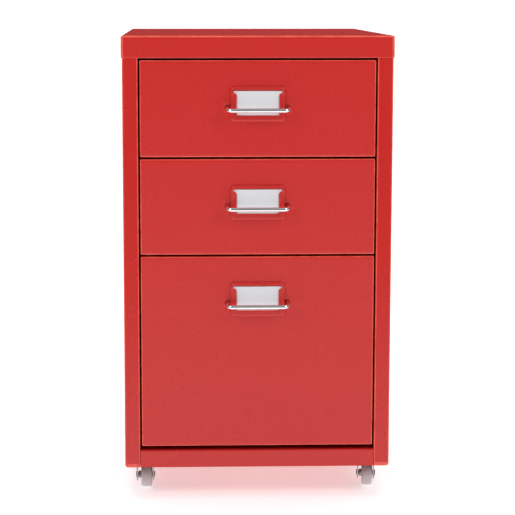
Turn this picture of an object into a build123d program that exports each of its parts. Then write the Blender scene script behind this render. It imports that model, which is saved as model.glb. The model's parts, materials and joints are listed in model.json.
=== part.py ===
from build123d import *
import os

# A three-drawer steel pedestal on castors. Millimetres, +Z up, the fronts face -Y.
# The origin is under the middle of the whole cabinet, on the floor.

# Cabinet
cabinet_width = 280.0          # across the top panel
cabinet_depth = 410.0          # top panel, front to back
cabinet_height = 485.0         # floor to the top panel's upper face
sheet = 0.8                    # steel sheet of every panel
bend = 0.7                     # inside radius of a fold
lid_skirt = 22.6               # folded edge of the top panel
lid_clearance = 0.2            # between the skirt and the body, all round
lid_corner = 2.6               # upright corners of the top panel
lid_edge = 1.7                 # fold along the top panel's upper edges
hem_depth = 12.0               # flange folded back under the front skirt
hem_gap = 0.6                  # from that flange to the posts
post_width = 16.0              # front of a side panel, folded to face forwards
post_lip = 14.0                # the post's return into the cabinet
rear_flange = 15.0             # a side panel's flange behind the back panel
top_flange = 12.0              # a side panel's flange that the top panel rests on
back_inset = 1.0               # edge of the back panel, in from the side panels

# Base
castor_recess = 4.2            # the castors' seat, above the lower edge of the body
apron_height = 18.2            # front edge of the base panel
base_gap = 0.3                 # between the apron and the posts
base_clearance = 0.2           # between the base panel's skirts and the side panels

# Drawers
shallow_front = 99.15          # height of the two upper fronts; the lowest takes what is left
drawer_gap = 2.2               # between fronts, and under the top panel
bottom_gap = 4.8               # under the lowest front
side_gap = 1.9                 # between a front and a post
front_depth = 14.0             # folded thickness of a front
front_edge = 1.1               # fold round a front
front_lip = 14.0               # flange round the back of a front
tray_side_gap = 6.7            # from the opening's edge to the tray's side
tray_drop = 3.0                # from a front's lower edge to its tray's floor
tray_headroom = 19.0           # from a tray's rim to its front's upper edge
tray_hem = 7.0                 # doubled edge along a tray's rim
rim_round = 0.6                # rounding of the doubled edge
kept_in_length = 86.0          # of a tray, when its drawer is fully open

# Slides
runner_height = 14.0           # outside, of the channel on the side panel
runner_reach = 1.6             # from the runner's flanges to the tray
runner_start = 16.5            # behind the fronts' face
rail_offset = 22.0             # middle of a rail above the tray's floor
rail_clearance = 0.3           # between rail and runner, above and below
rail_edge_gap = 1.7            # between a rail's edge and a post, as the drawer passes
glide_length = 22.0
glide_tongue = 15.0            # of a glide, inside the rail
glide_clearance = 0.25         # between glide and runner
glide_side_gap = 0.5           # between a glide and the runner's web
glide_round = 2.0
glide_recess = 7.0             # round hollow in a glide's outer side
stop_reach = 11.0              # of the stop tab, from the runner's web
stop_gap = 1.0                 # between glide and stop tab, drawer fully open
bumper_radius = 4.2
bumper_length = 7.5
bumper_round = 1.2
bumper_gap = 0.3               # between bumper and glide, drawer closed
bumper_web_gap = 2.2           # between bumper and runner web

# Label holder, card and handle
holder_width = 57.0
holder_height = 37.0
holder_thickness = 2.4
holder_corner = 4.5
holder_round = 2.0             # soft outer edge
holder_drop = 44.8             # from a front's upper edge to the holder's middle
holder_top_band = 4.8
holder_bottom_band = 6.9
holder_side_band = 6.75        # flange beside the window
holder_shoulder = 3.0          # card showing above the side flanges, and their corner radius
card_width = 51.5
card_thickness = 0.5
card_overlap = 4.0             # of the card, behind the lower flange
card_clearance = 0.3
handle_wire = 4.8              # diameter
handle_width = 67.0            # outside
handle_reach = 18.0            # from the front's face to the handle's foremost point
handle_drop = 50.5             # from a front's upper edge to the bar
handle_rise = 2.0              # from the bar up to the holes in the front
handle_bend = 5.0              # centre-line radius at the bar's ends
handle_knee = 5.0              # centre-line radius where a leg meets the front
handle_hole = 6.2              # diameter
knee_start = 3.5               # straight part of a leg in front of the face
nut_across = 8.0
nut_thickness = 4.0
nut_clearance = 0.05           # radial, on the wire
thread_end = 1.6               # of the wire, beyond the nut

# Screws and rivets
screw_radius = 1.6
screw_length = 6.0
screw_head_radius = 3.3
screw_head_height = 0.9
screw_recess = 0.5             # depth of the cross in the head
hole_clearance = 0.1           # radial, round a screw or a rivet
screw_inset = 8.0              # from the edge of the body to a screw
rivet_radius = 1.5
rivet_head_radius = 3.0
rivet_head_height = 1.2
rivet_tail = 1.5
rivet_wall_gap = 1.2           # from a rivet's head to the tray's side

# Castors
wheel_radius = 13.0
wheel_width = 11.4
wheel_round = 2.2              # shoulders of the tread
wheel_rim = 3.2                # tread thickness at the sides
wheel_dish = 1.6               # depth of the dished sides
hub_radius = 4.6
hub_end_gap = 0.4              # between either end of the hub and a leg
wheel_shift = 1.3              # of the wheel, to the right of the fork's middle
hub_draft = 0.8                # slope of the dish's walls
axle_radius = 2.0
running_clearance = 0.05       # radial, wheel on axle and fork on stem
axle_head_radius = 3.4
axle_head = 0.9
axle_end_gap = 0.1             # between a head and the fork
fork_sheet = 1.4
fork_side_gap = 2.2            # between wheel and leg, on average
fork_foot = 6.5                # radius of a leg's lower end
fork_top = 8.5                 # half depth of a leg at the crown
crown_gap = 3.4                # from the wheel to the crown over it
race_radius = 8.6              # round swivel head
race_height = 7.0              # both halves of the swivel head
race_gap = 0.3                 # between the turning and the fixed halves
race_round = 0.7
trail = 10.0                   # from the swivel axis back to the axle
castor_inset = 20.5            # swivel axis in from the body's side
castor_setback = 37.0          # swivel axis in from the body's front and back
castor_rail_depth = 30.0
castor_rail_flange = 5.0
castor_rail_gap = 0.2          # between a castor rail and the base panel's skirts
kingpin_radius = 3.0
kingpin_head_radius = 4.6
kingpin_head = 1.4
stem_radius = 4.0
stem_end = 2.6                 # of the stem, above its nut
castor_nut_across = 13.0
castor_nut = 5.0
castor_turns = {"front_left": 0.0, "front_right": -7.0, "rear_left": 0.0, "rear_right": 0.0}

# Places that follow from the sizes above
crown_under = 2 * wheel_radius + crown_gap
crown_top = crown_under + fork_sheet
castor_seat = crown_top + race_height
race_split = castor_seat - race_height / 2
ground_clearance = castor_seat - castor_recess
lid_proud = sheet + lid_clearance
total_depth = cabinet_depth + handle_reach - lid_proud + screw_head_height
face_y = -total_depth / 2 + handle_reach
lid_front_y = face_y - lid_proud
lid_rear_y = lid_front_y + cabinet_depth
back_y = lid_rear_y - lid_proud
body_half = cabinet_width / 2 - lid_proud
web_inner = body_half - sheet
opening_half = body_half - post_width
lid_under = cabinet_height - sheet
body_top = lid_under - lid_edge
skirt_z = cabinet_height - lid_skirt
apron_top = ground_clearance + apron_height
base_under = apron_top - sheet
front_half = opening_half - side_gap
tray_half = opening_half - tray_side_gap
tray_front_y = face_y + front_depth
tray_rear_y = back_y - 2 * sheet - bumper_length - bumper_gap
travel = tray_rear_y - tray_front_y - kept_in_length
runner_inner = runner_height / 2 - sheet
runner_web = web_inner - sheet
rail_half = runner_inner - rail_clearance
runner_rear_y = back_y - 2 * sheet - 2 * bend
rail_edge = opening_half - rail_edge_gap
castor_x = body_half - castor_inset
castor_places = {
    "front_left": (-castor_x, face_y + castor_setback),
    "front_right": (castor_x, face_y + castor_setback),
    "rear_left": (-castor_x, back_y - castor_setback),
    "rear_right": (castor_x, back_y - castor_setback),
}

drawer_tops = {"top": skirt_z - drawer_gap}
drawer_tops["middle"] = drawer_tops["top"] - shallow_front - drawer_gap
drawer_tops["bottom"] = drawer_tops["middle"] - shallow_front - drawer_gap
drawer_floors = {
    "top": drawer_tops["top"] - shallow_front,
    "middle": drawer_tops["middle"] - shallow_front,
    "bottom": apron_top + bottom_gap,
}


def block(x0, x1, y0, y1, z0, z1):
    return Pos((x0 + x1) / 2, (y0 + y1) / 2, (z0 + z1) / 2) * Box(x1 - x0, y1 - y0, z1 - z0)


def rod(radius, start, direction, length):
    # a cylinder from start along direction
    upright = Cylinder(radius, length, align=(Align.CENTER, Align.CENTER, Align.MIN))
    return Plane(origin=start, z_dir=direction) * upright


def folded(points):
    # the edge-on outline of a folded sheet, from the points of its middle line
    return trace(FilletPolyline(*points, radius=bend + sheet / 2), line_width=sheet)


def along_y(outline, y0, y1):
    # an outline drawn in X and Z, carried along Y
    face = Plane(origin=(0, y0, 0), x_dir=(1, 0, 0), z_dir=(0, -1, 0)) * outline
    return extrude(face, amount=y1 - y0, dir=(0, 1, 0))


def along_x(outline, x0, x1):
    # an outline drawn in Y and Z, carried along X
    face = Plane(origin=(x0, 0, 0), x_dir=(0, 1, 0), z_dir=(1, 0, 0)) * outline
    return extrude(face, amount=x1 - x0, dir=(1, 0, 0))


def both_sides(solid):
    return [solid, mirror(solid, about=Plane.YZ)]


def screw_at(place, outward):
    # a pan-head screw: place is on the sheet's surface, outward is where its head stands
    head = rod(screw_head_radius, (0, 0, 0), (0, 0, 1), screw_head_height)
    head = fillet(head.edges().group_by(Axis.Z)[-1], screw_head_height * 0.6)
    cross = Box(screw_head_radius * 1.1, screw_recess, screw_recess * 2)
    cross += Box(screw_recess, screw_head_radius * 1.1, screw_recess * 2)
    head -= Pos(0, 0, screw_head_height) * cross
    shank = rod(screw_radius, (0, 0, 0), (0, 0, -1), screw_length)
    shank = chamfer(shank.edges().group_by(Axis.Z)[0], screw_radius / 2)
    return Plane(origin=place, z_dir=outward) * (head + shank)


def screw_hole(place, outward):
    start = tuple(p + o * screw_length for p, o in zip(place, outward))
    return rod(screw_radius + hole_clearance, start, tuple(-o for o in outward), 2 * screw_length)


# Where the screws go: through the base panel's skirts at the sides, through the back panel, and
# through the top panel's rear skirt
side_screw_z = ground_clearance + apron_height / 2
side_screws = [
    ((side * body_half, y, side_screw_z), (side, 0, 0))
    for side in (-1, 1)
    for y in (face_y + post_lip + 4 * screw_inset, (face_y + back_y) / 2, back_y - 4 * screw_inset)
]
back_screw_x = body_half - screw_inset
back_screws = [
    ((side * back_screw_x, back_y, z), (0, 1, 0))
    for side in (-1, 1)
    for z in (apron_top + screw_inset, (apron_top + skirt_z) / 2, skirt_z - 2 * screw_inset)
]
base_screws = [((side * castor_x / 2, back_y, side_screw_z), (0, 1, 0)) for side in (-1, 1)]
lid_screws = [
    ((side * back_screw_x, lid_rear_y, skirt_z + lid_skirt / 2), (0, 1, 0)) for side in (-1, 1)
]


def drilled(solid, screws):
    for place, outward in screws:
        solid -= screw_hole(place, outward)
    return solid


def make_top_panel():
    half = cabinet_width / 2
    outer = block(-half, half, lid_front_y, lid_rear_y, skirt_z, cabinet_height)
    outer = fillet(outer.edges().filter_by(Axis.Z), lid_corner)
    outer = fillet(outer.edges().group_by(Axis.Z)[-1], lid_edge)
    inner = block(-half + sheet, half - sheet, lid_front_y + sheet, lid_rear_y - sheet, skirt_z, lid_under)
    inner = fillet(inner.edges().filter_by(Axis.Z), lid_corner - sheet)
    inner = fillet(inner.edges().group_by(Axis.Z)[-1], lid_edge - sheet)
    hem_half = opening_half - hem_gap
    hem = block(-hem_half, hem_half, lid_front_y, lid_front_y + hem_depth, skirt_z, skirt_z + sheet)
    return drilled(outer - inner + hem, lid_screws)


def make_side_panel():
    # the left panel: post lip, post, side, the flange behind the back panel, and the top flange
    outer_x = -body_half + sheet / 2
    post_x = -opening_half - sheet / 2
    flange_y = back_y - sheet * 1.5
    line = [
        (post_x, face_y + post_lip),
        (post_x, face_y + sheet / 2),
        (outer_x, face_y + sheet / 2),
        (outer_x, flange_y),
        (-body_half + rear_flange, flange_y),
    ]
    panel = Pos(0, 0, ground_clearance) * extrude(folded(line), body_top - ground_clearance)
    rest = [
        (outer_x, body_top - 3 * bend),
        (outer_x, lid_under - sheet / 2),
        (-body_half + top_flange, lid_under - sheet / 2),
    ]
    panel += along_y(folded(rest), face_y + post_lip, flange_y - post_lip)
    return drilled(panel, side_screws + back_screws + lid_screws)


def make_back_panel():
    half = body_half - back_inset
    panel = block(-half, half, back_y - sheet, back_y, ground_clearance, body_top)
    return drilled(panel, back_screws + base_screws + lid_screws)


def make_base_panel():
    # a shallow tray turned over: its narrow front fills the space between the posts
    narrow = opening_half - base_gap
    wide = web_inner - base_clearance
    wide_y = face_y + post_lip + 1
    rear_y = back_y - 2 * sheet
    outer = block(-narrow, narrow, face_y, wide_y + sheet, ground_clearance, apron_top)
    outer = fillet(outer.edges().filter_by(Axis.X).group_by(Axis.Y)[0].sort_by(Axis.Z)[-1], bend + sheet)
    back = block(-wide, wide, wide_y, rear_y, ground_clearance, apron_top)
    outer += fillet(back.edges().filter_by(Axis.Z), bend + sheet)
    inner = block(-narrow + sheet, narrow - sheet, face_y + sheet, wide_y + 2 * sheet, ground_clearance, base_under)
    inner = fillet(inner.edges().filter_by(Axis.X).group_by(Axis.Y)[0].sort_by(Axis.Z)[-1], bend)
    back = block(-wide + sheet, wide - sheet, wide_y + sheet, rear_y - sheet, ground_clearance, base_under)
    inner += fillet(back.edges().filter_by(Axis.Z), bend)
    # feet of the rear skirt reach back to the back panel beside the screws
    panel = outer - inner
    for side in (-1, 1):
        x = side * castor_x / 2
        panel += block(x - screw_inset, x + screw_inset, rear_y - sheet, back_y - sheet, ground_clearance, apron_top)
    return drilled(panel, side_screws + base_screws)


def make_castor_rails():
    # channels under the base panel that the castors are bolted to
    half = web_inner - base_clearance - sheet - castor_rail_gap
    rails = []
    for y in (face_y + castor_setback, back_y - castor_setback):
        wall = castor_rail_depth / 2 - sheet / 2
        top = base_under - sheet / 2
        seat = castor_seat + sheet / 2
        line = [
            (y - wall - castor_rail_flange, top),
            (y - wall, top),
            (y - wall, seat),
            (y + wall, seat),
            (y + wall, top),
            (y + wall + castor_rail_flange, top),
        ]
        rail = along_x(folded(line), -half, half)
        for x in (-castor_x, castor_x):
            rail -= rod(stem_radius + hole_clearance, (x, y, castor_seat - 1), (0, 0, 1), sheet + 2)
        rails.append(rail)
    return Compound(children=rails)


def make_runner(name):
    # the left channel that a drawer's rail slides in, welded to the side panel
    middle = drawer_floors[name] + tray_drop + rail_offset
    flange_z = runner_height / 2 - sheet / 2
    mouth_x = -tray_half - runner_reach
    web_x = -web_inner + sheet / 2
    line = [
        (mouth_x, middle + flange_z),
        (web_x, middle + flange_z),
        (web_x, middle - flange_z),
        (mouth_x, middle - flange_z),
    ]
    runner = along_y(folded(line), face_y + runner_start, runner_rear_y)
    stop_y = tray_rear_y - glide_length - travel - stop_gap
    tab = block(
        -runner_web, -runner_web + stop_reach, stop_y - sheet, stop_y, middle - runner_inner, middle + runner_inner
    )
    return runner + tab


def make_rail(name):
    # the left channel on a tray, open outwards
    middle = drawer_floors[name] + tray_drop + rail_offset
    flange_z = rail_half - sheet / 2
    web_x = -tray_half - sheet / 2
    line = [
        (-rail_edge, middle + flange_z),
        (web_x, middle + flange_z),
        (web_x, middle - flange_z),
        (-rail_edge, middle - flange_z),
    ]
    return along_y(folded(line), tray_front_y, tray_rear_y - glide_length)


def make_glides(name):
    # nylon blocks behind the rails, with a tongue inside each rail
    middle = drawer_floors[name] + tray_drop + rail_offset
    height = runner_inner - glide_clearance
    outer_x = -runner_web + glide_side_gap
    start_y = tray_rear_y - glide_length
    body = block(outer_x, -tray_half, start_y, tray_rear_y, middle - height, middle + height)
    body = fillet(body.edges().filter_by(Axis.Z).group_by(Axis.X)[0], glide_round)
    tongue_half = rail_half - sheet - bend
    body += block(
        -rail_edge, -tray_half - sheet, start_y - glide_tongue, start_y, middle - tongue_half, middle + tongue_half
    )
    body -= rod(height / 2, (outer_x, start_y + glide_length / 2, middle), (1, 0, 0), glide_recess)
    return Compound(children=both_sides(body))


def make_bumpers():
    # rubber stops on the side panels' rear flanges, one behind each glide
    bumpers = []
    x = -runner_web + bumper_web_gap + bumper_radius
    for name in drawer_floors:
        middle = drawer_floors[name] + tray_drop + rail_offset
        bumper = rod(bumper_radius, (x, back_y - 2 * sheet, middle), (0, -1, 0), bumper_length)
        bumper = fillet(bumper.edges().group_by(Axis.Y)[0], bumper_round)
        bumpers += both_sides(bumper)
    return Compound(children=bumpers)


def rivet_places(name):
    # through the tray's front wall and the lips round the back of its front
    low = drawer_floors[name] + tray_drop + sheet
    high = drawer_tops[name] - tray_headroom
    x = tray_half - sheet - rivet_wall_gap - rivet_head_radius
    z_places = (low + (high - low) * 0.25, low + (high - low) * 0.75)
    return [(side * x, z) for side in (-1, 1) for z in z_places]


def make_front(name):
    # a pan with a lip round its back; the hollow is closed by the tray's front wall
    low = drawer_floors[name]
    high = drawer_tops[name]
    outer = block(-front_half, front_half, face_y, tray_front_y, low, high)
    outer = fillet(outer.edges().group_by(Axis.Y)[0], front_edge)
    inner = block(
        -front_half + sheet, front_half - sheet, face_y + sheet, tray_front_y - sheet, low + sheet, high - sheet
    )
    inset = sheet + front_lip
    window = block(
        -front_half + inset, front_half - inset, tray_front_y - 2 * sheet, tray_front_y + sheet, low + inset, high - inset
    )
    pan = outer - inner - window
    leg_x = handle_width / 2 - handle_wire / 2
    hole_z = high - handle_drop + handle_rise
    for side in (-1, 1):
        pan -= rod(handle_hole / 2, (side * leg_x, face_y - 1, hole_z), (0, 1, 0), sheet + 2)
    for x, z in rivet_places(name):
        pan -= rod(rivet_radius + hole_clearance, (x, tray_front_y - 2 * sheet, z), (0, 1, 0), 3 * sheet)
    return pan


def make_tray(name):
    low = drawer_floors[name] + tray_drop
    high = drawer_tops[name] - tray_headroom
    outer = block(-tray_half, tray_half, tray_front_y, tray_rear_y, low, high)
    outer = fillet(outer.edges().group_by(Axis.Z)[0], bend + sheet)
    inner = block(
        -tray_half + sheet, tray_half - sheet, tray_front_y + sheet, tray_rear_y - sheet, low + sheet, high + 1
    )
    inner = fillet(inner.edges().group_by(Axis.Z)[0], bend)
    tray = outer - inner
    # the rim is folded over along the sides and the back
    hem = block(-tray_half, tray_half, tray_front_y, tray_rear_y, high - tray_hem, high)
    double = 2 * sheet
    hem -= block(-tray_half + double, tray_half - double, tray_front_y, tray_rear_y - double, high - 2 * tray_hem, high + 1)
    hem = fillet(hem.edges().group_by(Axis.Z)[-1].filter_by(lambda e: e.length > tray_hem), rim_round)
    tray = tray - block(
        -tray_half - 1, tray_half + 1, tray_front_y + sheet, tray_rear_y + 1, high - tray_hem, high + 1
    ) + hem
    for x, z in rivet_places(name):
        tray -= rod(rivet_radius + hole_clearance, (x, tray_front_y - sheet, z), (0, 1, 0), 3 * sheet)
    return tray


def make_front_rivets(name):
    # domed heads inside the tray, tails inside the front
    rivets = []
    start_y = tray_front_y + sheet
    for x, z in rivet_places(name):
        head = rod(rivet_head_radius, (x, start_y, z), (0, 1, 0), rivet_head_height)
        head = fillet(head.edges().group_by(Axis.Y)[-1], rivet_head_height * 0.7)
        rivets.append(head + rod(rivet_radius, (x, start_y, z), (0, -1, 0), 2 * sheet + rivet_tail))
    return Compound(children=rivets)


def holder_frame(name):
    # heights of the holder's middle, the card's upper edge and the window's sill
    middle = drawer_tops[name] - holder_drop
    top = middle + holder_height / 2
    bottom = middle - holder_height / 2
    return middle, top - holder_top_band, bottom + holder_bottom_band


def make_label_holder(name):
    # a raised surround; its side and lower flanges stand over the card, with rounded shoulders
    middle, card_top, sill = holder_frame(name)
    window_half = holder_width / 2 - holder_side_band
    card_half = card_width / 2 + card_clearance
    shoulder = card_top - holder_shoulder
    plate = along_y(Pos(0, middle) * RectangleRounded(holder_width, holder_height, holder_corner),
                    face_y - holder_thickness, face_y)
    plate = fillet(plate.edges().group_by(Axis.Y)[0], holder_round)
    window = Polyline(
        (-window_half, sill), (window_half, sill), (window_half, shoulder), (card_half, shoulder),
        (card_half, card_top), (-card_half, card_top), (-card_half, shoulder), (-window_half, shoulder), close=True,
    )
    opening = make_face(window)
    corners = [v for v in opening.vertices() if abs(v.Y - shoulder) < 0.01 and abs(abs(v.X) - window_half) < 0.01]
    opening = fillet(corners, holder_shoulder * 0.9)
    plate -= along_y(opening, face_y - holder_thickness - 1, face_y - sheet / 2)
    slot_y = face_y - sheet / 2
    depth = card_thickness + card_clearance
    plate -= block(-card_half, card_half, slot_y - depth, slot_y, sill - card_overlap - card_clearance, card_top)
    return plate


def make_label_card(name):
    middle, card_top, sill = holder_frame(name)
    half = card_width / 2
    back = face_y - sheet / 2
    return block(-half, half, back - card_thickness, back, sill - card_overlap, card_top - card_clearance)


def handle_path(name):
    bar_z = drawer_tops[name] - handle_drop
    hole_z = bar_z + handle_rise
    leg_x = handle_width / 2 - handle_wire / 2
    bar_y = face_y - handle_reach + handle_wire / 2
    end_y = face_y + sheet + nut_thickness + thread_end
    knee_y = face_y - knee_start
    return [
        (-leg_x, end_y, hole_z),
        (-leg_x, knee_y, hole_z),
        (-leg_x, bar_y, bar_z),
        (leg_x, bar_y, bar_z),
        (leg_x, knee_y, hole_z),
        (leg_x, end_y, hole_z),
    ]


def make_handle(name):
    # one wire: a bar in front, two legs that run back and up through the front
    path = handle_path(name)
    line = FilletPolyline(*path, radius=[handle_knee, handle_bend, handle_bend, handle_knee])
    start = Plane(origin=path[0], z_dir=(0, -1, 0))
    wire = sweep(start * Circle(handle_wire / 2), path=line)
    return wire


def make_handle_nuts(name):
    nuts = []
    hole_z = drawer_tops[name] - handle_drop + handle_rise
    leg_x = handle_width / 2 - handle_wire / 2
    for side in (-1, 1):
        nut = extrude(RegularPolygon(nut_across / 2, 6, major_radius=False), nut_thickness)
        nut -= Cylinder(handle_wire / 2 + nut_clearance, 4 * nut_thickness)
        nuts.append(Plane(origin=(side * leg_x, face_y + sheet, hole_z), z_dir=(0, 1, 0)) * nut)
    return Compound(children=nuts)


def castor_frame(place):
    # a castor's own frame: its swivel axis, turned as it stands
    x, y = castor_places[place]
    return Pos(x, y, 0) * Rot(0, 0, castor_turns[place])


def make_castor_stems():
    # the fixed half of each castor: flange, threaded stem and the kingpin that the fork turns on
    head_top = crown_under - race_gap
    race_z = race_split + race_gap
    stem_top = castor_seat + sheet + castor_nut + stem_end
    stems = []
    for place in castor_places:
        stem = rod(race_radius, (0, 0, race_z), (0, 0, 1), castor_seat - race_z)
        stem = fillet(stem.edges().group_by(Axis.Z)[0], race_round)
        stem += rod(kingpin_radius, (0, 0, head_top), (0, 0, 1), castor_seat - head_top)
        head = rod(kingpin_head_radius, (0, 0, head_top - kingpin_head), (0, 0, 1), kingpin_head)
        stem += fillet(head.edges().group_by(Axis.Z)[0], kingpin_head * 0.6)
        stud = rod(stem_radius, (0, 0, race_z), (0, 0, 1), stem_top - race_z)
        stem += chamfer(stud.edges().group_by(Axis.Z)[-1], stem_radius / 5)
        stems.append(castor_frame(place) * stem)
    return Compound(children=stems)


def make_castor_nuts():
    nuts = []
    for place in castor_places:
        nut = extrude(RegularPolygon(castor_nut_across / 2, 6, major_radius=False), castor_nut)
        nut -= Cylinder(stem_radius + hole_clearance, 4 * castor_nut)
        nuts.append(castor_frame(place) * Pos(0, 0, castor_seat + sheet) * nut)
    return Compound(children=nuts)


def make_fork(place):
    # two legs, a crown and the turning half of the swivel head
    inner = wheel_width / 2 + fork_side_gap
    foot = Pos(trail, wheel_radius) * Circle(fork_foot)
    head = Pos(0, crown_under + fork_sheet / 2) * Rectangle(2 * fork_top, fork_sheet)
    leg = along_x(make_hull(foot.edges() + head.edges()), inner, inner + fork_sheet)
    leg -= rod(axle_radius + running_clearance, (inner - 1, trail, wheel_radius), (1, 0, 0), fork_sheet + 2)
    crown = block(-inner, inner, -fork_top, fork_top, crown_under, crown_top)
    race = rod(race_radius, (0, 0, crown_top), (0, 0, 1), race_split - crown_top)
    race = fillet(race.edges().group_by(Axis.Z)[-1], race_round)
    fork = crown + race + leg + mirror(leg, about=Plane.YZ)
    fork -= rod(kingpin_radius + running_clearance, (0, 0, crown_under - 1), (0, 0, 1), castor_seat - crown_under)
    return castor_frame(place) * fork


def make_axle(place):
    # a riveted axle: its heads stand against the legs
    half = wheel_width / 2 + fork_side_gap + fork_sheet + axle_end_gap
    axle = rod(axle_radius, (-half, trail, wheel_radius), (1, 0, 0), 2 * half)
    head = rod(axle_head_radius, (half, trail, wheel_radius), (1, 0, 0), axle_head)
    head = fillet(head.edges().group_by(Axis.X)[-1], axle_head * 0.6)
    return castor_frame(place) * (axle + head + mirror(head, about=Plane.YZ))


def wheel_half(hub_end):
    # one side of a wheel, turned about X: half the tread, a dished side and the hub as far as hub_end
    half = wheel_width / 2
    bore = axle_radius + running_clearance
    rim = wheel_radius - wheel_rim
    section = Polyline(
        (0, bore), (hub_end, bore), (hub_end, hub_radius - hub_draft), (half - wheel_dish, hub_radius),
        (half - wheel_dish, rim - hub_draft), (half, rim), (half, wheel_radius), (0, wheel_radius), close=True,
    )
    face = make_face(section)
    tread = [v for v in face.vertices() if abs(v.X - half) < 0.01 and abs(v.Y - wheel_radius) < 0.01]
    return revolve(fillet(tread, wheel_round), axis=Axis.X)


def make_wheel(place):
    # the hub reaches from leg to leg, so its left side is the longer one
    inner = wheel_width / 2 + fork_side_gap
    right = wheel_half(inner - wheel_shift - hub_end_gap)
    left = wheel_half(inner + wheel_shift - hub_end_gap)
    wheel = right + mirror(left, about=Plane.YZ)
    return castor_frame(place) * Pos(wheel_shift, trail, wheel_radius) * wheel


nodes = {
    "top_panel": make_top_panel(),
    "side_panel_left": make_side_panel(),
    "back_panel": make_back_panel(),
    "base_panel": make_base_panel(),
    "castor_rails": make_castor_rails(),
    "panel_screws": Compound(children=[screw_at(*s) for s in side_screws + back_screws + base_screws + lid_screws]),
    "drawer_bumpers": make_bumpers(),
    "castor_stems": make_castor_stems(),
    "castor_nuts": make_castor_nuts(),
}
nodes["side_panel_right"] = mirror(nodes["side_panel_left"], about=Plane.YZ)

for name in drawer_floors:
    runner = make_runner(name)
    rail = make_rail(name)
    nodes[f"{name}_runner_left"] = runner
    nodes[f"{name}_runner_right"] = mirror(runner, about=Plane.YZ)
    nodes[f"{name}_rail_left"] = rail
    nodes[f"{name}_rail_right"] = mirror(rail, about=Plane.YZ)
    nodes[f"{name}_glides"] = make_glides(name)
    nodes[f"{name}_front"] = make_front(name)
    nodes[f"{name}_tray"] = make_tray(name)
    nodes[f"{name}_front_rivets"] = make_front_rivets(name)
    nodes[f"{name}_label_holder"] = make_label_holder(name)
    nodes[f"{name}_label_card"] = make_label_card(name)
    nodes[f"{name}_handle"] = make_handle(name)
    nodes[f"{name}_handle_nuts"] = make_handle_nuts(name)

for place in castor_places:
    nodes[f"castor_fork_{place}"] = make_fork(place)
    nodes[f"castor_axle_{place}"] = make_axle(place)
    nodes[f"castor_wheel_{place}"] = make_wheel(place)

os.makedirs("parts", exist_ok=True)
for name, shape in nodes.items():
    export_step(shape, f"parts/{name}.step")

print(f"{len(nodes)} nodes; drawer travel {travel:.2f}; face at {face_y:.2f}, back at {back_y:.2f}")
print(f"opening half {opening_half:.2f}, tray half {tray_half:.2f}, tray {tray_front_y:.2f} to {tray_rear_y:.2f}")
for name in drawer_floors:
    print(f"{name}: front {drawer_floors[name]:.2f} to {drawer_tops[name]:.2f}")
for place, (x, y) in castor_places.items():
    print(f"castor {place}: {x:.2f}, {y:.2f}")
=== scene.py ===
import bpy
import bmesh
import json
import math
import numpy as np
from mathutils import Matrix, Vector


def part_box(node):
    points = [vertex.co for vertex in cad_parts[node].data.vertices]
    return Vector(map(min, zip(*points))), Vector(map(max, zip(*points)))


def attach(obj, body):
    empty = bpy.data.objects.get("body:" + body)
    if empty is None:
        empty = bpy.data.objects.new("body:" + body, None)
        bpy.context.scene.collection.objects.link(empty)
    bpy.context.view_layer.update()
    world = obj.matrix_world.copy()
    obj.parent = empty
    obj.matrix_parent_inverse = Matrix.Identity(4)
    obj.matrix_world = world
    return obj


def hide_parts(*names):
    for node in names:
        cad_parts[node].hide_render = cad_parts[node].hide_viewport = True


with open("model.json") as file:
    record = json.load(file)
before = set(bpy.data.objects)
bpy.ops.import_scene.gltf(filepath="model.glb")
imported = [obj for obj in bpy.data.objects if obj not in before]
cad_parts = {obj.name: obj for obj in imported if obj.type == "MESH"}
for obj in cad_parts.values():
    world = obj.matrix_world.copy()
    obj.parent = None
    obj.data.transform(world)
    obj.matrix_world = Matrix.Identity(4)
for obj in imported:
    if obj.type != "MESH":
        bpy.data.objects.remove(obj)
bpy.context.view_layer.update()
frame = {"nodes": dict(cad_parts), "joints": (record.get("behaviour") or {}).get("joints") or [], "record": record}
cadNodes = frame["nodes"]
mm = 0.001
drawers = ("top", "middle", "bottom")
print("cabinet loaded:", len(cadNodes), "parts")


def gridQuads(rows, columns, closeRows=False, closeColumns=False):
    # four corners for each cell of a grid; a closed side joins its last line to its first
    i = np.arange(rows if closeRows else rows - 1)
    j = np.arange(columns if closeColumns else columns - 1)
    a, b = [g.ravel() for g in np.meshgrid(i, j, indexing="ij")]
    c, d = (a + 1) % rows, (b + 1) % columns
    return np.stack([a * columns + b, c * columns + b, c * columns + d, a * columns + d], 1)


def gridSheet(points, closeRows=False, closeColumns=False):
    rows, columns = points.shape[:2]
    return points.reshape(-1, 3), gridQuads(rows, columns, closeRows, closeColumns)


def roundness(vertex, narrow=0.45 * mm, full=math.radians(8)):
    # 1 on an outer rounding and -1 in an inner one: the sharpest turn among the edges that meet
    # here, as a share of a full turn, and 0 beside any face too wide to be part of a rounding
    turn = 0.0
    for face in vertex.link_faces:
        if face.calc_area() > narrow * max(edge.calc_length() for edge in face.edges):
            return 0.0
    for edge in vertex.link_edges:
        if len(edge.link_faces) == 2:
            angle = edge.calc_face_angle_signed(0.0)
            turn = angle if abs(angle) > abs(turn) else turn
    return max(-1.0, min(1.0, turn / full))


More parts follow.
